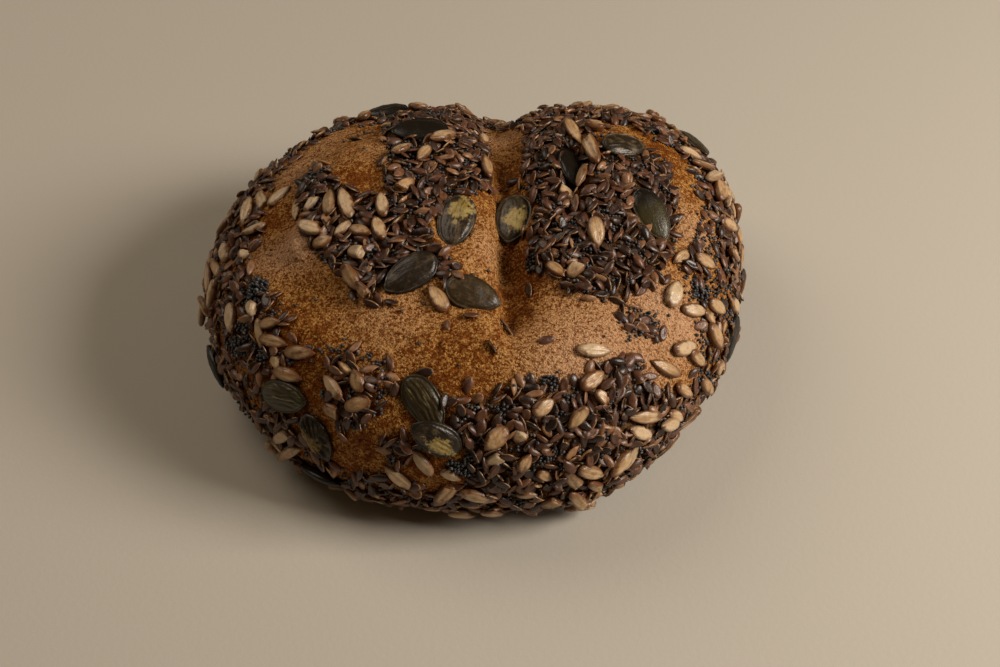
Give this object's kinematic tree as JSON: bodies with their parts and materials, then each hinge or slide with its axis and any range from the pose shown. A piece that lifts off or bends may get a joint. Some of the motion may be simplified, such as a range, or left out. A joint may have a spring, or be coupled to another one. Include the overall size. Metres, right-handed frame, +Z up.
{
  "type": "multigrain loaf",
  "caption": "Small heart-shaped multigrain loaf with two lobes, a crease that runs from the notch to a pit, a flat base, and a crust topped with pumpkin seeds and finer seeds.",
  "frame": {"origin": "middle of the flat base, under the middle of the whole object's box", "axes": "+Z up out of the top crust, +X to the right, +Y back towards the notch between the lobes"},
  "size_m": [0.143, 0.13, 0.0598],
  "materials": {
    "crust": "dry baked crust dusted with coarse flour, darker orange brown in its folds",
    "pumpkin_seed": "satin, dark olive green with toasted and pale yellow patches",
    "sunflower_kernel": "matt, toasted cream",
    "flax_seed": "glossy red brown",
    "poppy_seed": "matt blue grey to black"
  },
  "bodies": {
    "root": {"bread": "crust", "pumpkin_seed_01": "pumpkin_seed", "pumpkin_seed_02": "pumpkin_seed", "pumpkin_seed_03": "pumpkin_seed", "pumpkin_seed_04": "pumpkin_seed", "pumpkin_seed_05": "pumpkin_seed", "pumpkin_seed_06": "pumpkin_seed", "pumpkin_seed_07": "pumpkin_seed", "pumpkin_seed_08": "pumpkin_seed", "pumpkin_seed_09": "pumpkin_seed", "pumpkin_seed_10": "pumpkin_seed", "pumpkin_seed_11": "pumpkin_seed", "pumpkin_seed_12": "pumpkin_seed", "pumpkin_seed_13": "pumpkin_seed", "pumpkin_seed_14": "pumpkin_seed", "pumpkin_seed_15": "pumpkin_seed", "pumpkin_seed_16": "pumpkin_seed", "pumpkin_seed_17": "pumpkin_seed", "pumpkin_seed_18": "pumpkin_seed", "pumpkin_seed_19": "pumpkin_seed", "pumpkin_seed_20": "pumpkin_seed", "pumpkin_seed_21": "pumpkin_seed", "pumpkin_seed_22": "pumpkin_seed"}
  },
  "joints": []
}
